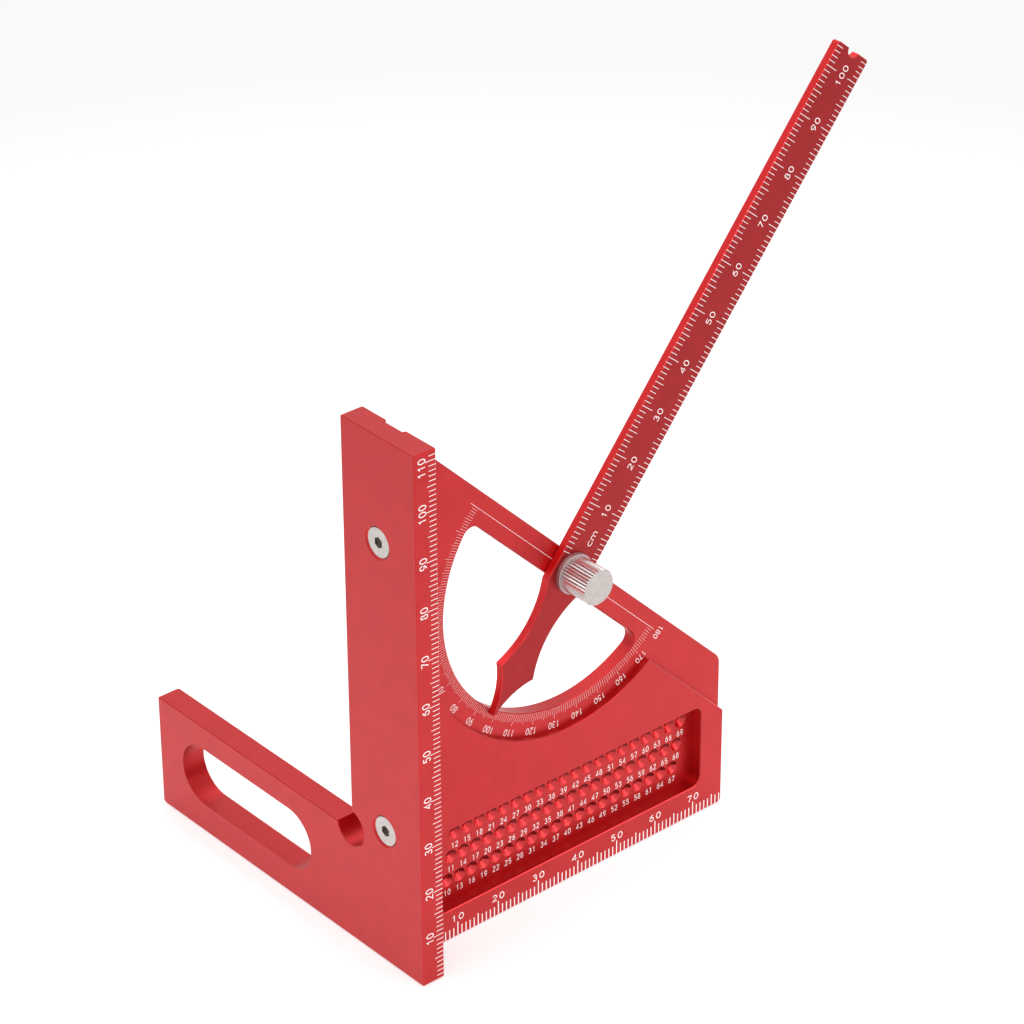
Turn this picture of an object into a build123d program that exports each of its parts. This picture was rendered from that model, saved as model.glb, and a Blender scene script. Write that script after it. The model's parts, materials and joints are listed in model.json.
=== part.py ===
from build123d import *
import math
import os

# Adjustable mitre and scribing square, all in millimetres.
# +Z is up.  X = 0 is the inner face of the fence, where the plate scale starts.
# Y = 0 is the middle plane of the plate, and +Y points away from the scale side.
# Z = 0 is the flush bottom of the fence foot and of the plate.

# ---- fence: an L-shaped plate whose long foot points backwards ----
FENCE_FRONT = -10.5
FENCE_THICK = 5.0
LEG_WIDTH = 20.0
LEG_HEIGHT = 112.0
FOOT_LENGTH = 80.0
FOOT_HEIGHT = 24.5
OUTER_CORNER = 0.3
FOOT_END_CORNER = 0.8
BACK_EDGE_RADIUS = 1.0
RELIEF_RADIUS = 3.9
RELIEF_OUT = 0.5
SLOT_LENGTH = 40.0
SLOT_HEIGHT = 13.1
SLOT_CENTRE = (52.75, 12.9)
GROOVE_DEPTH = 0.8
GROOVE_MOUTH_RADIUS = 0.7
EDGE_BREAK = 0.15

# ---- plate: a right triangle cut off short, set back from the leg's edge ----
PLATE_FRONT = -2.5
PLATE_THICK = 5.0
PLATE_RIGHT = 77.6
PIVOT = (37.9, 68.6)
BAR_HALF = 2.8
NOSE_RADIUS = 3.0
PLATE_CORNER = 0.8
PLATE_EDGE_BREAK = 0.15
WINDOW_RADIUS = 29.1
WINDOW_CORNER = 2.2
RING_RADIUS = 34.05
STEP_OFFSET = 5.35
STRIP_RIGHT = 6.5
FRONT_RECESS = 1.3
BACK_RECESS = 0.8

# ---- scribing pocket with its 60 countersunk pencil holes ----
POCKET_LEFT = 5.5
POCKET_RIGHT = 71.8
POCKET_BOTTOM = 6.55
POCKET_TOP = 24.55
POCKET_CORNER = 2.0
POCKET_DEPTH = 3.0
HOLE_FIRST_X = 10.0
HOLE_FIRST_Z = 11.0
HOLE_PITCH = 3.0
HOLE_COLUMNS = 20
HOLE_ROWS = 3
ROW_PITCH = 5.0
HOLE_MOUTH_RADIUS = 1.4
HOLE_RADIUS = 0.4

# ---- swinging ruler arm with the pointer below its pivot ----
ARM_ANGLE = 50.8
ARM_HALF = 4.9
ARM_THICK = 1.7
ARM_END = 107.7
ARM_CORNER = 0.6
ARM_GAP = 0.05
ARM_EDGE_BREAK = 0.1
NOTCH_RADIUS = 1.6
NOTCH_OUT = 0.3
SHOULDER_AT = -3.2
WAIST_AT = -12.0
WAIST_HALF = 2.65
HIP_AT = -20.9
FLANK_AT = -25.35
FLANK_HALF = 1.55
TIP_AT = -30.0
TIP_HALF = 0.15

# ---- thumb screw and washer ----
SHANK_RADIUS = 1.5
SHANK_CHAMFER = 0.3
RUNNING_GAP = 0.05
WASHER_RADIUS = 4.0
WASHER_THICK = 1.0
WASHER_BORE = 1.6
WASHER_CHAMFER = 0.06
KNOB_RADIUS = 3.6
KNOB_LENGTH = 6.3
KNOB_CHAMFER = 0.1
KNURL_COUNT = 36
KNURL_DEPTH = 0.27
KNURL_CREST = 0.05
SHANK_REACH = 4.2

# ---- countersunk socket screws through the fence ----
SCREW_HEIGHTS = (29.15, 90.3)
SCREW_LENGTH = 10.0
SCREW_HEAD_RADIUS = 2.9
SCREW_HEAD_RIM = 0.1
SCREW_HEAD_SUNK = 0.3
SCREW_TIP_CHAMFER = 0.4
SCREW_HOLE_SPARE = 0.5
SOCKET_ACROSS = 2.0
SOCKET_DEPTH = 1.6

PLATE_BACK = PLATE_FRONT + PLATE_THICK
PLATE_MID = PLATE_FRONT + PLATE_THICK / 2
FACE_Y = PLATE_FRONT + FRONT_RECESS
BACK_Y = PLATE_BACK - BACK_RECESS
BASELINE = PIVOT[0] + PIVOT[1]
ROOT2 = math.sqrt(2)
FAR = 150.0


def facing_front(y):
    """Plane at depth y: local x is +X, local y is +Z, and extrusion runs towards the front."""
    return Plane(origin=(0, y, 0), x_dir=(1, 0, 0), z_dir=(0, -1, 0))


def pivot_frame(y, angle=0.0):
    """Plane at depth y centred on the pivot, its x axis turned up from +X by the angle."""
    turn = math.radians(angle)
    return Plane(
        origin=(PIVOT[0], y, PIVOT[1]),
        x_dir=(math.cos(turn), 0, math.sin(turn)),
        z_dir=(0, -1, 0),
    )


def break_edges(part, plane_axis, size):
    """Chamfer the outline edges of the two flat faces that look along one axis."""
    faces = part.faces().filter_by(plane_axis).sort_by(plane_axis)
    rims = [faces[0].outer_wire(), faces[-1].outer_wire()]
    edges = ShapeList([edge for rim in rims for edge in rim.edges()])
    return chamfer(edges, size)


def make_fence():
    """L-shaped plate with its foot slot, corner relief, plate groove and two screw holes."""
    corners = [
        (0, 0),
        (FOOT_LENGTH, 0),
        (FOOT_LENGTH, FOOT_HEIGHT),
        (LEG_WIDTH, FOOT_HEIGHT),
        (LEG_WIDTH, LEG_HEIGHT),
        (0, LEG_HEIGHT),
    ]
    side = Plane(origin=(-FENCE_THICK, FENCE_FRONT, 0), x_dir=(0, 1, 0), z_dir=(1, 0, 0))
    outline = make_face(Polyline(*corners, close=True))
    outline = fillet(outline.vertices().filter_by(is_square_corner), OUTER_CORNER)
    outline = fillet(outline.vertices().filter_by(is_foot_end), FOOT_END_CORNER)
    outline -= Pos(LEG_WIDTH + RELIEF_OUT, FOOT_HEIGHT + RELIEF_OUT) * Circle(RELIEF_RADIUS)
    outline -= Pos(*SLOT_CENTRE) * SlotOverall(SLOT_LENGTH, SLOT_HEIGHT)
    body = extrude(side * outline, FENCE_THICK)
    body = break_edges(body, Axis.X, EDGE_BREAK)
    body -= back_edge_waste(LEG_WIDTH, FOOT_HEIGHT, LEG_HEIGHT)
    body -= back_edge_waste(FOOT_LENGTH, 0, FOOT_HEIGHT)
    body -= extrude(groove_section(), LEG_HEIGHT + 1)
    for height in SCREW_HEIGHTS:
        body -= Pos(-FENCE_THICK, PLATE_MID, height) * Rot(0, 90, 0) * screw_hole()
    return body


def is_foot_end(vertex):
    """True at the fence outline's corner at the far bottom of the foot."""
    return vertex.X > FOOT_LENGTH - 1 and vertex.Y < 1


def is_square_corner(vertex):
    """True at the fence outline's other outer corners, which are nearly sharp."""
    inner = abs(vertex.X - LEG_WIDTH) < 1 and abs(vertex.Y - FOOT_HEIGHT) < 1
    return not inner and not is_foot_end(vertex)


def back_edge_waste(width, bottom, top):
    """What is cut away to round the upright edge at the inner back of a leg or foot this wide."""
    size = BACK_EDGE_RADIUS + 1
    centre = Pos(-BACK_EDGE_RADIUS, FENCE_FRONT + width - BACK_EDGE_RADIUS)
    plan = centre * (Rectangle(size, size, align=(Align.MIN, Align.MIN)) - Circle(BACK_EDGE_RADIUS))
    return extrude(Pos(0, 0, bottom) * plan, top - bottom)


def groove_section():
    """Cross-section of the groove that takes the plate's edge, with its mouth rounded over."""
    across = (Align.MIN, Align.CENTER)
    groove = Pos(-GROOVE_DEPTH, PLATE_MID) * Rectangle(GROOVE_DEPTH + 1, PLATE_THICK, align=across)
    outside = Pos(0, PLATE_MID) * Rectangle(1, PLATE_THICK + 4 * GROOVE_MOUTH_RADIUS, align=across)
    section = groove + outside
    mouth = section.vertices().filter_by(lambda v: abs(v.X) < GROOVE_DEPTH / 2).filter_by(
        lambda v: abs(v.Y - PLATE_MID) < PLATE_THICK / 2 + GROOVE_MOUTH_RADIUS
    )
    return fillet(mouth, GROOVE_MOUTH_RADIUS)


def screw_hole():
    """Countersunk clearance hole, entered at the origin and running along +Z."""
    reach = SCREW_HEAD_RADIUS + SCREW_HEAD_SUNK + SCREW_HEAD_RIM + RUNNING_GAP
    sink = Cone(reach, 0, reach, align=(Align.CENTER, Align.CENTER, Align.MIN))
    bore = Cylinder(
        SHANK_RADIUS + RUNNING_GAP, FENCE_THICK + 1, align=(Align.CENTER, Align.CENTER, Align.MIN)
    )
    return sink + bore


def recess_outline():
    """Area of the recessed bar and protractor: right of the strip and over the step, or in the ring."""
    step = BASELINE - STEP_OFFSET * ROOT2
    above_step = make_face(
        Polyline(
            (STRIP_RIGHT, PIVOT[1]),
            (step - PIVOT[1], PIVOT[1]),
            (FAR, step - FAR),
            (FAR, FAR),
            (STRIP_RIGHT, FAR),
            close=True,
        )
    )
    return above_step + Pos(*PIVOT) * Circle(RING_RADIUS)


def window_outline():
    """D-shaped opening: the protractor's inner circle, cut off along the lower edge of the bar."""
    below_bar = Pos(0, -BAR_HALF) * Rectangle(FAR, FAR, align=(Align.CENTER, Align.MAX))
    shape = Circle(WINDOW_RADIUS) & below_bar
    shape = fillet(shape.vertices(), WINDOW_CORNER)
    return Pos(*PIVOT) * Rot(0, 0, -45) * shape


def free_edges(body, y, side):
    """Edges lying in the plane at depth y with no material beside them on the given side."""
    step = 0.05
    flat = 0.001
    around = [Vector(dx, side * step, dz) for dx in (-step, 0, step) for dz in (-step, 0, step)]
    found = ShapeList()
    for edge in body.edges():
        box = edge.bounding_box()
        in_plane = abs(box.min.Y - y) < flat and abs(box.max.Y - y) < flat
        if in_plane and not any(body.is_inside(edge @ 0.5 + offset) for offset in around):
            found.append(edge)
    return found


def make_plate():
    """Main plate: raised lower half, recessed bar and protractor, pocket and scribing holes."""
    top = BASELINE + BAR_HALF * ROOT2
    outline = make_face(
        Polyline(
            (-GROOVE_DEPTH, 0),
            (PLATE_RIGHT, 0),
            (PLATE_RIGHT, top - PLATE_RIGHT),
            (-GROOVE_DEPTH, top + GROOVE_DEPTH),
            close=True,
        )
    )
    nose = outline.vertices().sort_by(Axis.X)[-2:].sort_by(Axis.Y)
    outline = fillet(nose[-1], NOSE_RADIUS)
    corner = outline.vertices().filter_by(lambda v: v.X > PLATE_RIGHT - 1).sort_by(Axis.Y)[0]
    outline = fillet(corner, PLATE_CORNER)
    body = extrude(facing_front(PLATE_BACK) * outline, PLATE_THICK)
    body -= extrude(facing_front(FACE_Y) * recess_outline(), FRONT_RECESS + 1)
    body -= extrude(facing_front(PLATE_BACK + 1) * recess_outline(), BACK_RECESS + 1)
    body -= extrude(facing_front(PLATE_BACK + 1) * window_outline(), PLATE_THICK + 2)
    body -= extrude(facing_front(PLATE_FRONT + POCKET_DEPTH) * pocket_outline(), POCKET_DEPTH + 1)
    for depth, side in ((PLATE_FRONT, -1), (FACE_Y, -1), (PLATE_BACK, 1), (BACK_Y, 1)):
        body = chamfer(free_edges(body, depth, side), PLATE_EDGE_BREAK)
    body -= scribing_holes()
    body -= extrude(pivot_frame(PLATE_BACK) * Circle(SHANK_RADIUS + RUNNING_GAP), PLATE_THICK)
    reach = SCREW_LENGTH - FENCE_THICK + SCREW_HOLE_SPARE
    for height in SCREW_HEIGHTS:
        body -= Pos(-GROOVE_DEPTH - 1, PLATE_MID, height) * Rot(0, 90, 0) * Cylinder(
            SHANK_RADIUS + RUNNING_GAP,
            reach + GROOVE_DEPTH + 1,
            align=(Align.CENTER, Align.CENTER, Align.MIN),
        )
    return body


def pocket_outline():
    """Rounded rectangle of the scribing pocket."""
    centre = ((POCKET_LEFT + POCKET_RIGHT) / 2, (POCKET_BOTTOM + POCKET_TOP) / 2)
    width = POCKET_RIGHT - POCKET_LEFT
    height = POCKET_TOP - POCKET_BOTTOM
    return Pos(*centre) * RectangleRounded(width, height, POCKET_CORNER)


def scribing_holes():
    """Three rows of countersunk holes; each row starts one millimetre further along the scale."""
    floor_y = PLATE_FRONT + POCKET_DEPTH
    sink_depth = HOLE_MOUTH_RADIUS - HOLE_RADIUS
    standing = (Align.CENTER, Align.CENTER, Align.MIN)
    sink = Cone(HOLE_RADIUS, HOLE_MOUTH_RADIUS, sink_depth, align=standing)
    bore = Cylinder(HOLE_RADIUS, PLATE_THICK, align=standing)
    hole = Pos(0, 0, -sink_depth) * sink + Pos(0, 0, -PLATE_THICK) * bore
    holes = []
    for row in range(HOLE_ROWS):
        for column in range(HOLE_COLUMNS):
            x = HOLE_FIRST_X + row + HOLE_PITCH * column
            z = HOLE_FIRST_Z + ROW_PITCH * row
            holes.append(Pos(x, floor_y, z) * Rot(90, 0, 0) * hole)
    return holes


def make_arm():
    """Ruler arm: straight blade above the pivot, waisted pointer below it."""
    right_side = [
        Line((ARM_END, 0), (ARM_END, -ARM_HALF)),
        Line((ARM_END, -ARM_HALF), (SHOULDER_AT, -ARM_HALF)),
        ThreePointArc((SHOULDER_AT, -ARM_HALF), (WAIST_AT, -WAIST_HALF), (HIP_AT, -ARM_HALF)),
        ThreePointArc((HIP_AT, -ARM_HALF), (FLANK_AT, -FLANK_HALF), (TIP_AT, -TIP_HALF)),
        Line((TIP_AT, -TIP_HALF), (TIP_AT, 0)),
    ]
    left_side = [mirror(edge, Plane.XZ) for edge in right_side]
    outline = make_face(Curve() + right_side + left_side)
    ends = outline.vertices().filter_by(lambda v: v.X > ARM_END - 1 and abs(v.Y) > ARM_HALF / 2)
    outline = fillet(ends, ARM_CORNER)
    outline -= Pos(ARM_END + NOTCH_OUT, 0) * Circle(NOTCH_RADIUS)
    back = FACE_Y - ARM_GAP
    body = extrude(pivot_frame(back, ARM_ANGLE) * outline, ARM_THICK)
    body = break_edges(body, Axis.Y, ARM_EDGE_BREAK)
    body -= extrude(pivot_frame(back + 1) * Circle(SHANK_RADIUS + RUNNING_GAP), ARM_THICK + 2)
    return body


def make_washer():
    """Plain washer between the arm and the knob."""
    back = FACE_Y - ARM_GAP - ARM_THICK
    ring = Circle(WASHER_RADIUS) - Circle(WASHER_BORE)
    body = extrude(pivot_frame(back) * ring, WASHER_THICK)
    rims = body.edges().filter_by(GeomType.CIRCLE).filter_by(lambda e: e.radius > WASHER_BORE)
    return chamfer(rims, WASHER_CHAMFER)


def make_thumb_screw():
    """Straight-knurled knob turned in one piece with its shank."""
    seat = FACE_Y - ARM_GAP - ARM_THICK - WASHER_THICK
    blank = extrude(pivot_frame(seat) * Circle(KNOB_RADIUS), KNOB_LENGTH)
    rims = blank.edges().filter_by(GeomType.CIRCLE)
    blank = chamfer(rims, KNOB_CHAMFER)
    points = []
    for index in range(KNURL_COUNT):
        for radius, shift in ((KNOB_RADIUS + KNURL_CREST, 0.0), (KNOB_RADIUS - KNURL_DEPTH, 0.5)):
            turn = 2 * math.pi * (index + shift) / KNURL_COUNT
            points.append((radius * math.cos(turn), radius * math.sin(turn)))
    teeth = extrude(pivot_frame(seat) * make_face(Polyline(*points, close=True)), KNOB_LENGTH)
    shank_length = WASHER_THICK + SHANK_REACH
    shank = extrude(pivot_frame(seat + shank_length) * Circle(SHANK_RADIUS), shank_length)
    shank_end = shank.edges().filter_by(GeomType.CIRCLE).sort_by(Axis.Y)[-1]
    return (blank & teeth) + chamfer(shank_end, SHANK_CHAMFER)


def make_fence_screw():
    """Countersunk socket screw, head at the origin and shank along +Z."""
    sunk = SCREW_HEAD_SUNK
    half_section = Polyline(
        (0, sunk),
        (SCREW_HEAD_RADIUS, sunk),
        (SCREW_HEAD_RADIUS, sunk + SCREW_HEAD_RIM),
        (SHANK_RADIUS, SCREW_HEAD_RADIUS - SHANK_RADIUS + sunk + SCREW_HEAD_RIM),
        (SHANK_RADIUS, SCREW_LENGTH - SCREW_TIP_CHAMFER),
        (SHANK_RADIUS - SCREW_TIP_CHAMFER, SCREW_LENGTH),
        (0, SCREW_LENGTH),
        close=True,
    )
    body = revolve(Plane.XZ * make_face(half_section), Axis.Z)
    socket = Pos(0, 0, sunk) * RegularPolygon(SOCKET_ACROSS / 2, 6, major_radius=False)
    body -= extrude(socket, SOCKET_DEPTH)
    return body


def make_fence_screws():
    """The two screws, one solid each."""
    screw = make_fence_screw()
    placed = []
    for height in SCREW_HEIGHTS:
        placed.append(Pos(-FENCE_THICK, PLATE_MID, height) * Rot(0, 90, 0) * screw)
    return Compound(children=placed)


os.makedirs("parts", exist_ok=True)
export_step(make_fence(), "parts/fence_plate.step")
export_step(make_plate(), "parts/main_plate.step")
export_step(make_arm(), "parts/bevel_arm.step")
export_step(make_washer(), "parts/clamp_washer.step")
export_step(make_thumb_screw(), "parts/thumb_screw.step")
export_step(make_fence_screws(), "parts/fence_screws.step")
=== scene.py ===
import json
import math

import bpy
from mathutils import Matrix, Vector


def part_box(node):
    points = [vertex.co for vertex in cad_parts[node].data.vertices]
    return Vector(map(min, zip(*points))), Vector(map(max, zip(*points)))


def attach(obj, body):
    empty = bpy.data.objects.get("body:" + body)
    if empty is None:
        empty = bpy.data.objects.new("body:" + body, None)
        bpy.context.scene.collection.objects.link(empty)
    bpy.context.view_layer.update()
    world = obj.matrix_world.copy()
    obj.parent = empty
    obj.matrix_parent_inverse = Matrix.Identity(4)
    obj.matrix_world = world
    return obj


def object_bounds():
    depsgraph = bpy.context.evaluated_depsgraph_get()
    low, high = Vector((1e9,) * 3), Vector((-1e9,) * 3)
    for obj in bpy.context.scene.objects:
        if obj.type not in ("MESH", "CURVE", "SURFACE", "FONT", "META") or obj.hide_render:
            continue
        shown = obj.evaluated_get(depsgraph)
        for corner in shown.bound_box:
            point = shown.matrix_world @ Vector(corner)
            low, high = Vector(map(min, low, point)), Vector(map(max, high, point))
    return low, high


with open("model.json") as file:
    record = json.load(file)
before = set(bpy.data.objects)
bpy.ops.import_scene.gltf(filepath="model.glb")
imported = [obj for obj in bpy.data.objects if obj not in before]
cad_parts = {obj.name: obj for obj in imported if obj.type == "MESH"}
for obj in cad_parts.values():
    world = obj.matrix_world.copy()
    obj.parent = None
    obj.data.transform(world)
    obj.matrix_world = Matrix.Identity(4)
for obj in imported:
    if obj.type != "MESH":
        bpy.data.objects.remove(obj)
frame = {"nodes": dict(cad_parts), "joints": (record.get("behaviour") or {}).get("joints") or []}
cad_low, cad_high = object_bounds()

MM = 0.001
NODES = frame["nodes"]

# ---- where things are, read from the frame, in millimetres ----


def corner(node, which):
    """Lowest (0) or highest (1) corner of a CAD node, in millimetres."""
    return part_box(node)[which] / MM


SWING = next(joint for joint in frame["joints"] if joint["name"] == "arm_swing")
PIVOT = Vector(SWING["pos_m"]) / MM
LEG_FRONT = corner("fence_plate", 0).y
LEG_INNER = corner("fence_plate", 1).x
LEG_TOP = corner("fence_plate", 1).z
PLATE_FRONT = corner("main_plate", 0).y
PLATE_BOTTOM = corner("main_plate", 0).z
PLATE_RIGHT = corner("main_plate", 1).x
ARM_FRONT = corner("bevel_arm", 0).y
ARM_BACK = corner("bevel_arm", 1).y

# ---- driving dimensions that the marks share with the parts, in millimetres ----
ARM_ANGLE = 50.8
ARM_HALF = 4.9
ARM_GAP = 0.05
ARM_BREAK = 0.1
PLATE_BREAK = 0.15
FENCE_BREAK = 0.15
WINDOW_RADIUS = 29.1
HOLES_TOP = 26.0
KNOB_RADIUS = 3.6
KNURL_DEPTH = 0.27
POCKET_DEPTH = 3.0
HOLE_FIRST = (10.0, 11.0)
HOLE_PITCH = 3.0
HOLE_COLUMNS = 20
HOLE_ROWS = 3
ROW_PITCH = 5.0

# ---- camera: a long lens, aimed at a point of the row frame ----
CAMERA_TARGET = (0.0423958, 0.0190431, 0.0699069)
CAMERA_DISTANCE = 0.753382
CAMERA_AZIMUTH = -40.650
CAMERA_ELEVATION = 30.3795
CAMERA_ROLL = -0.305
CAMERA_LENS = 141.98
CAMERA_SENSOR = 36
CAMERA_CLIP = (0.05, 20)

# ---- floor, in metres ----
FLOOR_DROP = 0.0002
FLOOR_REACH = 3.0
# radius of the painted pool of light that the floor glows with
PAINTED_GLOW_RADIUS = 0.35

# ---- engraved marks, in millimetres ----
MARK_PROUD = 0.012
MARK_SUNK = 0.008
# tick lengths: every one, every fifth, every tenth
LEG_TICKS = (1.7, 2.1, 2.5)
LEG_TICK_WIDTH = 0.14
PLATE_TICKS = (2.17, 2.72, 3.18)
PLATE_TICK_WIDTH = 0.24
ARM_LEFT_TICKS = (1.75, 2.4, 3.1)
ARM_RIGHT_TICKS = (1.75, 2.25, 2.85)
ARM_TICK_WIDTH = 0.11
# outer radii of the degree ticks
DEGREE_TICKS = (30.85, 31.2, 31.6)
DEGREE_TICK_WIDTH = 0.04
# numerals: height, width, advance, stroke
LEG_NUMERALS = (1.55, 0.97, 1.35, 0.2)
PLATE_NUMERALS = (1.3, 1.1, 1.76, 0.2)
DEGREE_NUMERALS = (1.3, 0.7, 0.95, 0.13)
HOLE_NUMERALS = (1.15, 0.62, 0.92, 0.14)
ARM_NUMERALS = (1.35, 1.0, 1.45, 0.17)
UNIT_LETTERS = (1.5, 1.3, 1.42, 0.16)
# where the marks stand
LEG_NUMBERS_IN = 3.25
LEG_TOP_MARGIN = 2.9
PLATE_NUMBERS_UP = 4.18
DEGREE_RADIUS = 33.0
DEGREE_FIRST = 135  # the protractor's zero, turned up from +X
DEGREES_LABELLED_FROM = 30
BASE_LINE = ((-31.7, 0), (31.4, 0))
BASE_LINE_WIDTH = 0.07
HOLE_NUMBERS_DOWN = 2.78
ARM_ZERO = 2.87  # the arm scale's zero, along the arm from the pivot
ARM_LAST = 104
ARM_NUMBERS_SHIFT = (-0.15, -0.28)
UNIT_AT = (6.9, -0.3)


def face_frame(origin, right, up):
    """Matrix of a flat face: local x along right, y along up, z out of the face, in millimetres."""
    x = Vector(right).normalized()
    y = Vector(up).normalized()
    z = x.cross(y)
    frame_matrix = Matrix((x, y, z)).transposed().to_4x4()
    frame_matrix.translation = Vector(origin)
    return frame_matrix


def front_face(x, y, z, angle=0.0):
    """Face that looks towards the front, its local x turned up from +X by the angle."""
    turn = math.radians(angle)
    right = (math.cos(turn), 0, math.sin(turn))
    up = (-math.sin(turn), 0, math.cos(turn))
    return face_frame((x, y, z), right, up)


# ---- single-stroke numerals, in a cell one unit tall and 0.6 wide ----


def arc(centre, radii, start, end, steps=10):
    """Points along an ellipse's arc, angles in degrees."""
    points = []
    for index in range(steps + 1):
        angle = math.radians(start + (end - start) * index / steps)
        points.append((centre[0] + radii[0] * math.cos(angle), centre[1] + radii[1] * math.sin(angle)))
    return points


def turned(path):
    """The path turned half round about the middle of the cell."""
    return [(0.6 - x, 1 - y) for x, y in path]


ZERO = arc((0.3, 0.5), (0.28, 0.5), 0, 360, 18)
SIX_BOWL = arc((0.3, 0.31), (0.26, 0.31), 0, 360, 14)
SIX_TAIL = arc((0.56, 0.33), (0.52, 0.67), 100, 178, 6)
GLYPHS = {
    "0": [ZERO],
    "1": [[(0.12, 0.76), (0.34, 1.0), (0.34, 0.0)]],
    "2": [arc((0.3, 0.72), (0.25, 0.28), 165, -25, 8) + [(0.03, 0.0), (0.58, 0.0)]],
    "3": [
        arc((0.28, 0.76), (0.22, 0.24), 155, -90, 8) + arc((0.28, 0.26), (0.27, 0.26), 90, -155, 9)[1:]
    ],
    "4": [[(0.44, 0.0), (0.44, 1.0), (0.02, 0.28), (0.6, 0.28)]],
    "5": [[(0.53, 1.0), (0.13, 1.0), (0.09, 0.56)] + arc((0.29, 0.32), (0.27, 0.32), 130, -145, 9)],
    "6": [SIX_BOWL, SIX_TAIL],
    "7": [[(0.03, 1.0), (0.56, 1.0), (0.2, 0.0)]],
    "8": [
        arc((0.3, 0.77), (0.21, 0.23), 0, 360, 12),
        arc((0.3, 0.27), (0.26, 0.27), 0, 360, 14),
    ],
    "9": [turned(SIX_BOWL), turned(SIX_TAIL)],
    "c": [arc((0.32, 0.33), (0.27, 0.33), 50, 310, 9)],
    "m": [
        [(0.0, 0.0), (0.0, 0.64)],
        [(0.0, 0.42)] + arc((0.18, 0.42), (0.18, 0.22), 180, 0, 6) + [(0.36, 0.0)],
        [(0.36, 0.42)] + arc((0.54, 0.42), (0.18, 0.22), 180, 0, 6) + [(0.72, 0.0)],
    ],
}


class Marks:
    """Collects narrow engraved strokes on one part and makes them into a single mesh piece."""

    def __init__(self):
        self.vertices = []
        self.faces = []

    def stroke(self, face, path, width, heights=None):
        """Ribbon of constant width along a path of (x, y) points on a face."""
        points = [Vector(point) for point in path]
        closed = (points[0] - points[-1]).length < 1e-6
        if closed:
            points.pop()
        count = len(points)
        first = len(self.vertices)
        for index, point in enumerate(points):
            before = points[index - 1] if closed or index > 0 else None
            after = points[(index + 1) % count] if closed or index < count - 1 else None
            across = self.mitre(point, before, after) * (width / 2)
            level = heights[index] if heights else 0.0
            for side in (across, -across):
                for height in (level + MARK_PROUD, level - MARK_SUNK):
                    self.vertices.append(face @ Vector((point.x + side.x, point.y + side.y, height)) * MM)
        for index in range(count if closed else count - 1):
            a = first + 4 * index
            b = first + 4 * ((index + 1) % count)
            for low, high in ((0, 2), (2, 3), (3, 1), (1, 0)):
                self.faces.append((a + low, a + high, b + high, b + low))
        if not closed:
            last = first + 4 * (count - 1)
            self.faces.append((first, first + 1, first + 3, first + 2))
            self.faces.append((last, last + 2, last + 3, last + 1))

    @staticmethod
    def mitre(point, before, after):
        """Sideways direction at a point of the path, longer where the path bends."""
        ahead = (after - point).normalized() if after else (point - before).normalized()
        behind = (point - before).normalized() if before else ahead
        middle = (ahead + behind).normalized()
        stretch = 1 / max(0.5, middle.dot(ahead))
        return Vector((-middle.y, middle.x)) * stretch

    def label(self, face, text, numerals):
        """Text centred on the face frame's origin."""
        height, width, advance, stroke = numerals
        left = -(advance * (len(text) - 1) + width) / 2
        for index, letter in enumerate(text):
            for path in GLYPHS[letter]:
                placed = []
                for x, y in path:
                    placed.append((left + advance * index + x * width / 0.6, (y - 0.5) * height))
                self.stroke(face, placed, stroke)

    def piece(self, name, body, material):
        """Makes the mesh piece, which rides on the body."""
        mesh = bpy.data.meshes.new(name)
        mesh.from_pydata(self.vertices, [], self.faces)
        mesh.validate()
        mesh.materials.append(material)
        made = bpy.data.objects.new(name, mesh)
        bpy.context.scene.collection.objects.link(made)
        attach(made, body)
        return made


def tick_length(number, lengths):
    """Length of the tick at a whole number: (every one, every fifth, every tenth)."""
    if number % 10 == 0:
        return lengths[2]
    return lengths[1] if number % 5 == 0 else lengths[0]


def edge_tick(marks, face, length, edge_break, width):
    """Tick that starts at a chamfered edge, at the frame's origin, and runs along +y."""
    path = [(0, 0), (0, edge_break), (0, length)]
    marks.stroke(face, path, width, heights=(-edge_break, 0, 0))


# ---- materials ----
CUT_SMOOTHER = 0.26  # how much less rough the 45-degree cuts are than the blasted faces


def node_material(name):
    """New node material, its node tree and its Principled shader."""
    material = bpy.data.materials.new(name)
    material.use_nodes = True
    tree = material.node_tree
    shader = next(node for node in tree.nodes if node.type == "BSDF_PRINCIPLED")
    return material, tree, shader


def noise(tree, scale, detail=2.0, roughness=0.5):
    """Noise texture in the row frame; scale is in cycles per metre."""
    coordinates = tree.nodes.new("ShaderNodeTexCoord")
    texture = tree.nodes.new("ShaderNodeTexNoise")
    texture.inputs["Scale"].default_value = scale
    texture.inputs["Detail"].default_value = detail
    texture.inputs["Roughness"].default_value = roughness
    tree.links.new(coordinates.outputs["Object"], texture.inputs["Vector"])
    return texture.outputs["Fac"]


def ramp(tree, source, low, high, start=0.3, end=0.7):
    """Colours that follow a value from start to end."""
    node = tree.nodes.new("ShaderNodeValToRGB")
    node.color_ramp.elements[0].position = start
    node.color_ramp.elements[0].color = (*low, 1)
    node.color_ramp.elements[1].position = end
    node.color_ramp.elements[1].color = (*high, 1)
    tree.links.new(source, node.inputs["Fac"])
    return node.outputs["Color"]


def span(tree, source, low, high, start=0.3, end=0.7):
    """A value mapped from start..end to low..high."""
    node = tree.nodes.new("ShaderNodeMapRange")
    node.inputs["From Min"].default_value = start
    node.inputs["From Max"].default_value = end
    node.inputs["To Min"].default_value = low
    node.inputs["To Max"].default_value = high
    tree.links.new(source, node.inputs["Value"])
    return node.outputs["Result"]


def bump(tree, shader, source, distance, strength):
    """Fine relief on the shader's normal, distance in metres."""
    node = tree.nodes.new("ShaderNodeBump")
    node.inputs["Distance"].default_value = distance
    node.inputs["Strength"].default_value = strength
    tree.links.new(source, node.inputs["Height"])
    tree.links.new(node.outputs["Normal"], shader.inputs["Normal"])


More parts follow.
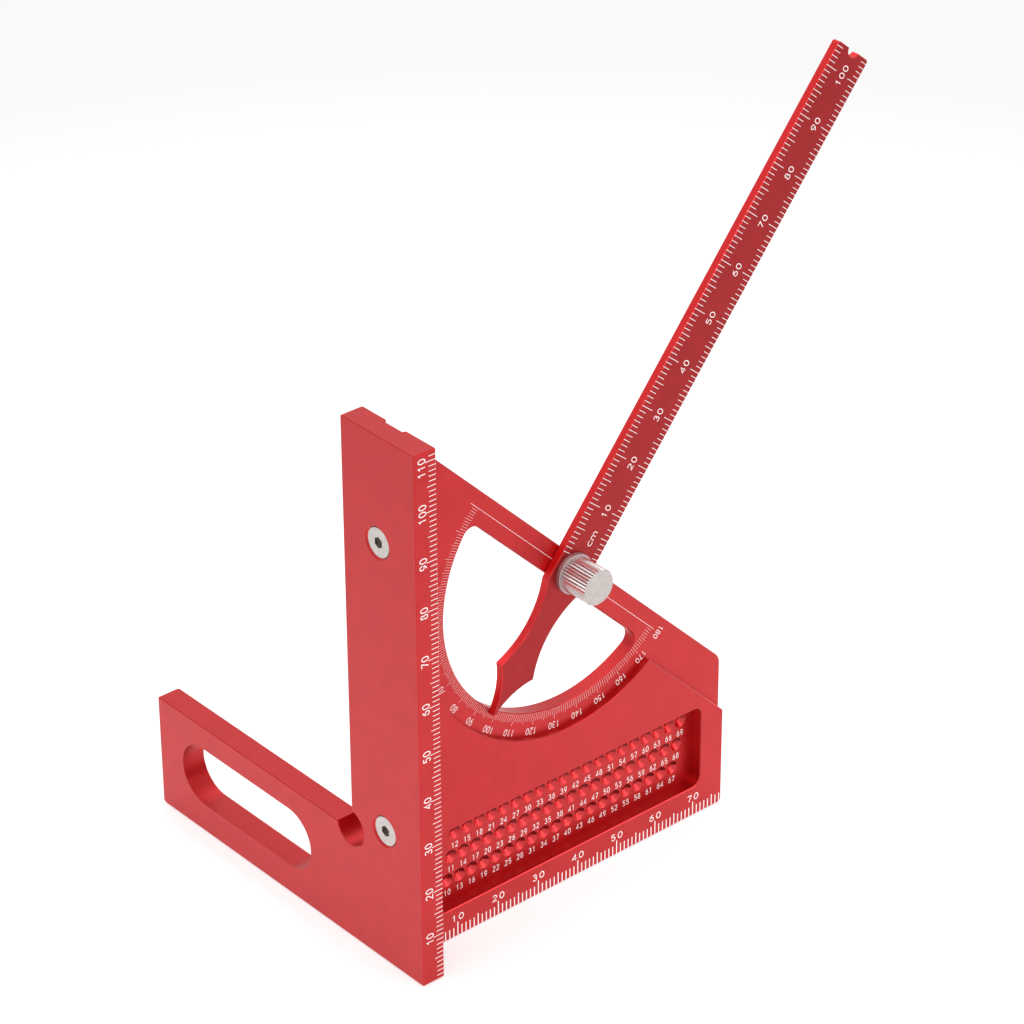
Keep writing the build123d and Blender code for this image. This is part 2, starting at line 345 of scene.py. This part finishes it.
def component(tree, source, axis):
    """One component of a part's own coordinates: source is Object (metres) or Normal."""
    coordinates = tree.nodes.new("ShaderNodeTexCoord")
    parts = tree.nodes.new("ShaderNodeSeparateXYZ")
    tree.links.new(coordinates.outputs[source], parts.inputs["Vector"])
    return parts.outputs[axis]


def maths(tree, operation, source, *constants):
    """Result of a Math node whose first input is the source and whose others are constants."""
    node = tree.nodes.new("ShaderNodeMath")
    node.operation = operation
    tree.links.new(source, node.inputs[0])
    for index, constant in enumerate(constants):
        node.inputs[index + 1].default_value = constant
    return node.outputs["Value"]


def facing(tree, axis, start, end):
    """0 to 1 as the surface turns to face along one axis of its own part, either way."""
    size = maths(tree, "ABSOLUTE", component(tree, "Normal", axis))
    return span(tree, size, 0, 1, start, end)


def blend(tree, amount, low, high):
    """Mix of two colour outputs."""
    node = tree.nodes.new("ShaderNodeMix")
    node.data_type = "RGBA"
    tree.links.new(amount, node.inputs["Factor"])
    tree.links.new(low, node.inputs[6])
    tree.links.new(high, node.inputs[7])
    return node.outputs[2]


def broken_edges(tree, axis):
    """1 on the 45-degree chamfers between the faces along one axis of a part and its sides."""
    size = maths(tree, "ABSOLUTE", component(tree, "Normal", axis))
    return maths(tree, "COMPARE", size, math.sqrt(0.5), 0.2)


def upward(tree):
    """0 to 1 as the surface turns from facing a little down to facing up at 45 degrees."""
    return span(tree, component(tree, "Normal", "Z"), 0, 1, -0.3, 0.7)


def below(tree, height):
    """1 under a height in the row frame, given in millimetres."""
    return maths(tree, "LESS_THAN", component(tree, "Object", "Z"), height * MM)


def anodise(tree, shader, coat, cut):
    """What the red parts share: blasted grain under a clear layer, smoother where cut is 1."""
    grain = noise(tree, 7000, 2.0, 0.6)
    smoother = tree.nodes.new("ShaderNodeMath")
    smoother.operation = "MULTIPLY_ADD"
    smoother.inputs[1].default_value = -CUT_SMOOTHER
    tree.links.new(cut, smoother.inputs[0])
    tree.links.new(span(tree, grain, 0.36, 0.46), smoother.inputs[2])
    tree.links.new(smoother.outputs["Value"], shader.inputs["Roughness"])
    bump(tree, shader, grain, 0.000004, 0.5)
    shader.inputs["Metallic"].default_value = 0.85
    shader.inputs["Coat Weight"].default_value = coat
    shader.inputs["Coat Roughness"].default_value = 0.4


def red_anodised(name, axis, drilled):
    """Bead-blasted aluminium under a clear red anodic layer; if drilled, its countersink cones carry
    painted shade where they face down and a painted highlight where they face up.
    """
    material, tree, shader = node_material(name)
    mottle = noise(tree, 220, 3.0)
    faces = ramp(tree, mottle, (0.49, 0.007, 0.009), (0.54, 0.010, 0.012))
    edges = ramp(tree, mottle, (0.50, 0.012, 0.014), (0.55, 0.015, 0.018))
    if drilled:
        # painted shade and highlight: below the holes' top, the countersink cones are painted dark where
        # they face down and bright where they face up
        countersink_painted_shade = ramp(tree, mottle, (0.17, 0.003, 0.004), (0.20, 0.004, 0.005))
        countersink_painted_highlight = ramp(tree, mottle, (0.84, 0.040, 0.045), (0.90, 0.048, 0.053))
        countersink_painted_light = blend(tree, upward(tree), countersink_painted_shade, countersink_painted_highlight)
        edges = blend(tree, below(tree, HOLES_TOP), edges, countersink_painted_light)
    cut = broken_edges(tree, axis)
    tree.links.new(blend(tree, cut, faces, edges), shader.inputs["Base Color"])
    anodise(tree, shader, 0.4, cut)
    return material


def arm_anodised():
    """The arm: faces along Y painted a darker wine red as painted shade, sides painted as bright as the
    plate as a painted reflection.
    """
    material, tree, shader = node_material("arm_anodised")
    mottle = noise(tree, 260, 3.0)
    sides = ramp(tree, mottle, (0.65, 0.014, 0.017), (0.70, 0.019, 0.022))
    edges = ramp(tree, mottle, (0.66, 0.025, 0.029), (0.72, 0.033, 0.038))
    faces = ramp(tree, mottle, (0.33, 0.004, 0.006), (0.38, 0.006, 0.009))
    # painted light: faces turned along the part's Y are painted darker as shade, the sides and their
    # chamfers brighter as a painted reflection
    cut = broken_edges(tree, "Y")
    painted_bright_rim = blend(tree, cut, sides, edges)
    colour = blend(tree, facing(tree, "Y", 0.85, 0.98), painted_bright_rim, faces)
    tree.links.new(colour, shader.inputs["Base Color"])
    anodise(tree, shader, 0.25, cut)
    return material


def laser_mark():
    """Anodic layer burnt away by a laser: pale, matt and slightly uneven."""
    material, tree, shader = node_material("laser_mark")
    colour = ramp(tree, noise(tree, 3000, 2.0), (0.95, 0.84, 0.83), (1.0, 0.93, 0.92))
    tree.links.new(colour, shader.inputs["Base Color"])
    shader.inputs["Roughness"].default_value = 0.7
    return material


def from_pivot(tree):
    """Distance from the pivot's axis, in metres."""
    coordinates = tree.nodes.new("ShaderNodeTexCoord")
    offset = tree.nodes.new("ShaderNodeVectorMath")
    offset.operation = "SUBTRACT"
    offset.inputs[1].default_value = PIVOT * MM
    tree.links.new(coordinates.outputs["Object"], offset.inputs[0])
    flat = tree.nodes.new("ShaderNodeVectorMath")
    flat.operation = "MULTIPLY"
    flat.inputs[1].default_value = (1, 0, 1)
    tree.links.new(offset.outputs["Vector"], flat.inputs[0])
    length = tree.nodes.new("ShaderNodeVectorMath")
    length.operation = "LENGTH"
    tree.links.new(flat.outputs["Vector"], length.inputs[0])
    return length.outputs["Value"]


def bright_nickel():
    """Bright nickel plate of the knob, painted darker towards the bottoms of its knurl as painted shade.
    """
    material, tree, shader = node_material("nickel_plate")
    mottle = noise(tree, 900, 3.0)
    # painted shade: the knurl darkens from its crests to the bottoms of its grooves, where shade falls
    height = span(tree, from_pivot(tree), 0, 1, (KNOB_RADIUS - KNURL_DEPTH) * MM, KNOB_RADIUS * MM)
    knurl_with_painted_shade = ramp(tree, height, (0.36, 0.31, 0.31), (0.84, 0.82, 0.81), 0.1, 0.7)
    face = ramp(tree, mottle, (0.49, 0.445, 0.425), (0.56, 0.515, 0.495))
    colour = blend(tree, facing(tree, "Y", 0.85, 0.98), knurl_with_painted_shade, face)
    tree.links.new(colour, shader.inputs["Base Color"])
    grain = noise(tree, 9000, 2.0)
    tree.links.new(span(tree, grain, 0.26, 0.36), shader.inputs["Roughness"])
    bump(tree, shader, grain, 0.000003, 0.4)
    shader.inputs["Metallic"].default_value = 1.0
    return material


def dull_nickel():
    """Dull tumbled nickel plate of the washer."""
    material, tree, shader = node_material("dull_nickel_plate")
    colour = ramp(tree, noise(tree, 900, 3.0), (0.50, 0.38, 0.39), (0.57, 0.44, 0.45))
    tree.links.new(colour, shader.inputs["Base Color"])
    grain = noise(tree, 8000, 2.0)
    tree.links.new(span(tree, grain, 0.46, 0.56), shader.inputs["Roughness"])
    bump(tree, shader, grain, 0.000004, 0.5)
    shader.inputs["Metallic"].default_value = 0.9
    return material


def bright_steel():
    """Bright turned steel of the two socket screws."""
    material, tree, shader = node_material("bright_steel")
    colour = ramp(tree, noise(tree, 1200, 3.0), (0.50, 0.46, 0.44), (0.58, 0.54, 0.51))
    tree.links.new(colour, shader.inputs["Base Color"])
    tree.links.new(span(tree, noise(tree, 6000, 2.0), 0.2, 0.32), shader.inputs["Roughness"])
    shader.inputs["Metallic"].default_value = 1.0
    return material


def paint(node, material):
    """Gives a CAD node its finished material."""
    mesh = NODES[node].data
    if mesh.materials:
        for index in range(len(mesh.materials)):
            mesh.materials[index] = material
    else:
        mesh.materials.append(material)


# ---- scales and numbers ----


def leg_scale(material):
    """Millimetre scale down the front edge of the leg, from its inner edge."""
    ticks = Marks()
    numbers = Marks()
    for z in range(1, int(LEG_TOP)):
        face = face_frame((LEG_INNER, LEG_FRONT, z), (0, 0, 1), (-1, 0, 0))
        edge_tick(ticks, face, tick_length(z, LEG_TICKS), FENCE_BREAK, LEG_TICK_WIDTH)
        if z % 10 == 0:
            height = min(z, LEG_TOP - LEG_TOP_MARGIN)
            middle = face_frame((LEG_INNER - LEG_NUMBERS_IN, LEG_FRONT, height), (0, 0, 1), (-1, 0, 0))
            numbers.label(middle, str(z), LEG_NUMERALS)
    ticks.piece("leg_scale_ticks", "stock", material)
    numbers.piece("leg_scale_numbers", "stock", material)


def plate_scale(material):
    """Millimetre scale along the bottom edge of the plate."""
    ticks = Marks()
    numbers = Marks()
    for x in range(1, int(PLATE_RIGHT) + 1):
        face = front_face(x, PLATE_FRONT, PLATE_BOTTOM)
        edge_tick(ticks, face, tick_length(x, PLATE_TICKS), PLATE_BREAK, PLATE_TICK_WIDTH)
        if x % 10 == 0:
            middle = front_face(x, PLATE_FRONT, PLATE_BOTTOM + PLATE_NUMBERS_UP)
            numbers.label(middle, str(x), PLATE_NUMERALS)
    ticks.piece("plate_scale_ticks", "stock", material)
    numbers.piece("plate_scale_numbers", "stock", material)


def protractor(material):
    """Degree ticks round the window, the base line through the pivot and the degree numbers."""
    ticks = Marks()
    numbers = Marks()
    depth = ARM_BACK + ARM_GAP
    for reading in range(1, 181):
        turn = DEGREE_FIRST + reading
        if reading < 180:  # the base line stands in for the last tick
            face = front_face(PIVOT.x, depth, PIVOT.z, turn)
            end = tick_length(reading, DEGREE_TICKS)
            ticks.stroke(face, [(WINDOW_RADIUS + PLATE_BREAK, 0), (end, 0)], DEGREE_TICK_WIDTH)
        if reading % 10 == 0 and reading >= DEGREES_LABELLED_FROM:
            x = PIVOT.x + DEGREE_RADIUS * math.cos(math.radians(turn))
            z = PIVOT.z + DEGREE_RADIUS * math.sin(math.radians(turn))
            numbers.label(front_face(x, depth, z, turn - 90), str(reading), DEGREE_NUMERALS)
    across = front_face(PIVOT.x, depth, PIVOT.z, DEGREE_FIRST - 180)
    ticks.stroke(across, BASE_LINE, BASE_LINE_WIDTH)
    ticks.piece("protractor_ticks", "stock", material)
    numbers.piece("protractor_numbers", "stock", material)


def hole_numbers(material):
    """The distance of each scribing hole, on the pocket floor under the hole."""
    numbers = Marks()
    depth = PLATE_FRONT + POCKET_DEPTH
    for row in range(HOLE_ROWS):
        for column in range(HOLE_COLUMNS):
            distance = round(HOLE_FIRST[0] + row + HOLE_PITCH * column)
            z = HOLE_FIRST[1] + ROW_PITCH * row - HOLE_NUMBERS_DOWN
            numbers.label(front_face(distance, depth, z), str(distance), HOLE_NUMERALS)
    numbers.piece("scribing_hole_numbers", "stock", material)


def on_arm(along, side):
    """Point of the arm's front, along it from the pivot and to its left, in the row frame."""
    turn = math.radians(ARM_ANGLE)
    across = math.radians(ARM_ANGLE + 90)
    x = PIVOT.x + along * math.cos(turn) + side * math.cos(across)
    z = PIVOT.z + along * math.sin(turn) + side * math.sin(across)
    return x, ARM_FRONT, z


def arm_scale(material):
    """Millimetre scales on both edges of the arm, its numbers and its unit."""
    ticks = Marks()
    numbers = Marks()
    for number in range(ARM_LAST + 1):
        along = ARM_ZERO + number
        left = front_face(*on_arm(along, ARM_HALF), ARM_ANGLE + 180)
        right = front_face(*on_arm(along, -ARM_HALF), ARM_ANGLE)
        rank = max(number, 1)  # the zero ticks are short, to clear the washer
        edge_tick(ticks, left, tick_length(rank, ARM_LEFT_TICKS), ARM_BREAK, ARM_TICK_WIDTH)
        edge_tick(ticks, right, tick_length(rank, ARM_RIGHT_TICKS), ARM_BREAK, ARM_TICK_WIDTH)
        if rank % 10 == 0:
            middle = on_arm(along + ARM_NUMBERS_SHIFT[0], ARM_NUMBERS_SHIFT[1])
            numbers.label(front_face(*middle, ARM_ANGLE), str(number), ARM_NUMERALS)
    numbers.label(front_face(*on_arm(*UNIT_AT), ARM_ANGLE), "cm", UNIT_LETTERS)
    ticks.piece("arm_scale_ticks", "arm", material)
    numbers.piece("arm_scale_numbers", "arm", material)


# ---- surroundings ----


def pool(tree, centre, radius):
    """1 at the centre of a round pool on the floor, falling evenly to 0 at its radius in metres."""
    coordinates = tree.nodes.new("ShaderNodeTexCoord")
    mapping = tree.nodes.new("ShaderNodeMapping")
    mapping.inputs["Location"].default_value = (-centre.x / radius, -centre.y / radius, 0)
    mapping.inputs["Scale"].default_value = (1 / radius, 1 / radius, 1 / radius)
    gradient = tree.nodes.new("ShaderNodeTexGradient")
    gradient.gradient_type = "SPHERICAL"
    tree.links.new(coordinates.outputs["Object"], mapping.inputs["Vector"])
    tree.links.new(mapping.outputs["Vector"], gradient.inputs["Vector"])
    return gradient.outputs["Fac"]


def make_floor():
    """Plain pale floor under the object whose glow is painted light: a painted pool of light, strongest
    in its middle, that lifts the shade round the object's base.
    """
    mesh = bpy.data.meshes.new("floor")
    z = cad_low.z - FLOOR_DROP
    centre = (cad_low + cad_high) / 2
    reach = FLOOR_REACH
    corners = [(-reach, -reach), (reach, -reach), (reach, reach), (-reach, reach)]
    mesh.from_pydata([(centre.x + x, centre.y + y, z) for x, y in corners], [], [(0, 1, 2, 3)])
    material, tree, shader = node_material("pale_floor")
    shader.inputs["Base Color"].default_value = (0.7, 0.7, 0.7, 1)
    shader.inputs["Roughness"].default_value = 0.9
    shader.inputs["Emission Color"].default_value = (1, 1, 1, 1)
    # painted light: the floor's emission is strongest under the object, a painted pool of light over the
    # shade round its base
    painted_light_pool = span(tree, pool(tree, centre, PAINTED_GLOW_RADIUS), 0.1, 0.53, 0, 1)
    tree.links.new(painted_light_pool, shader.inputs["Emission Strength"])
    mesh.materials.append(material)
    floor = bpy.data.objects.new("floor", mesh)
    bpy.context.scene.collection.objects.link(floor)


def direction(azimuth, elevation):
    """Unit vector from the object towards that azimuth and elevation."""
    a = math.radians(azimuth)
    e = math.radians(elevation)
    return Vector((math.sin(a) * math.cos(e), -math.cos(a) * math.cos(e), math.sin(e)))


def soft_light(name, azimuth, elevation, distance, size, power):
    """Square softbox that looks at the middle of the object."""
    light = bpy.data.lights.new(name, "AREA")
    light.shape = "SQUARE"
    light.size = size
    light.energy = power
    lamp = bpy.data.objects.new(name, light)
    bpy.context.scene.collection.objects.link(lamp)
    back = direction(azimuth, elevation)
    lamp.location = Vector(CAMERA_TARGET) + back * distance
    lamp.rotation_mode = "QUATERNION"
    lamp.rotation_quaternion = (-back).to_track_quat("-Z", "Y")


def make_light():
    """Pale surroundings, two large softboxes and a small one near the camera."""
    world = bpy.data.worlds.new("studio")
    world.use_nodes = True
    background = next(node for node in world.node_tree.nodes if node.type == "BACKGROUND")
    background.inputs["Color"].default_value = (1, 1, 1, 1)
    background.inputs["Strength"].default_value = 0.9
    bpy.context.scene.world = world
    soft_light("overhead_light", 160, 72, 1.6, 1.6, 8)
    soft_light("front_light", 22, 24, 1.5, 1.2, 3.6)
    soft_light("camera_side_light", -38, 36, 1.0, 0.25, 1.2)
    bpy.context.scene.view_settings.view_transform = "Standard"


def make_camera():
    """Long-lens camera above and to the left of the plate's front."""
    data = bpy.data.cameras.new("camera")
    data.lens = CAMERA_LENS
    data.sensor_width = CAMERA_SENSOR
    data.clip_start, data.clip_end = CAMERA_CLIP
    camera = bpy.data.objects.new("camera", data)
    bpy.context.scene.collection.objects.link(camera)
    back = direction(CAMERA_AZIMUTH, CAMERA_ELEVATION)
    camera.location = Vector(CAMERA_TARGET) + back * CAMERA_DISTANCE
    camera.rotation_mode = "QUATERNION"
    level = (-back).to_track_quat("-Z", "Y")
    roll = Matrix.Rotation(math.radians(CAMERA_ROLL), 4, "Z").to_quaternion()
    camera.rotation_quaternion = level @ roll
    bpy.context.scene.camera = camera


make_camera()
make_light()
make_floor()

paint("fence_plate", red_anodised("fence_anodised", "X", drilled=False))
paint("main_plate", red_anodised("plate_anodised", "Y", drilled=True))
paint("bevel_arm", arm_anodised())
paint("clamp_washer", dull_nickel())
paint("thumb_screw", bright_nickel())
paint("fence_screws", bright_steel())

mark = laser_mark()
leg_scale(mark)
plate_scale(mark)
protractor(mark)
hole_numbers(mark)
arm_scale(mark)
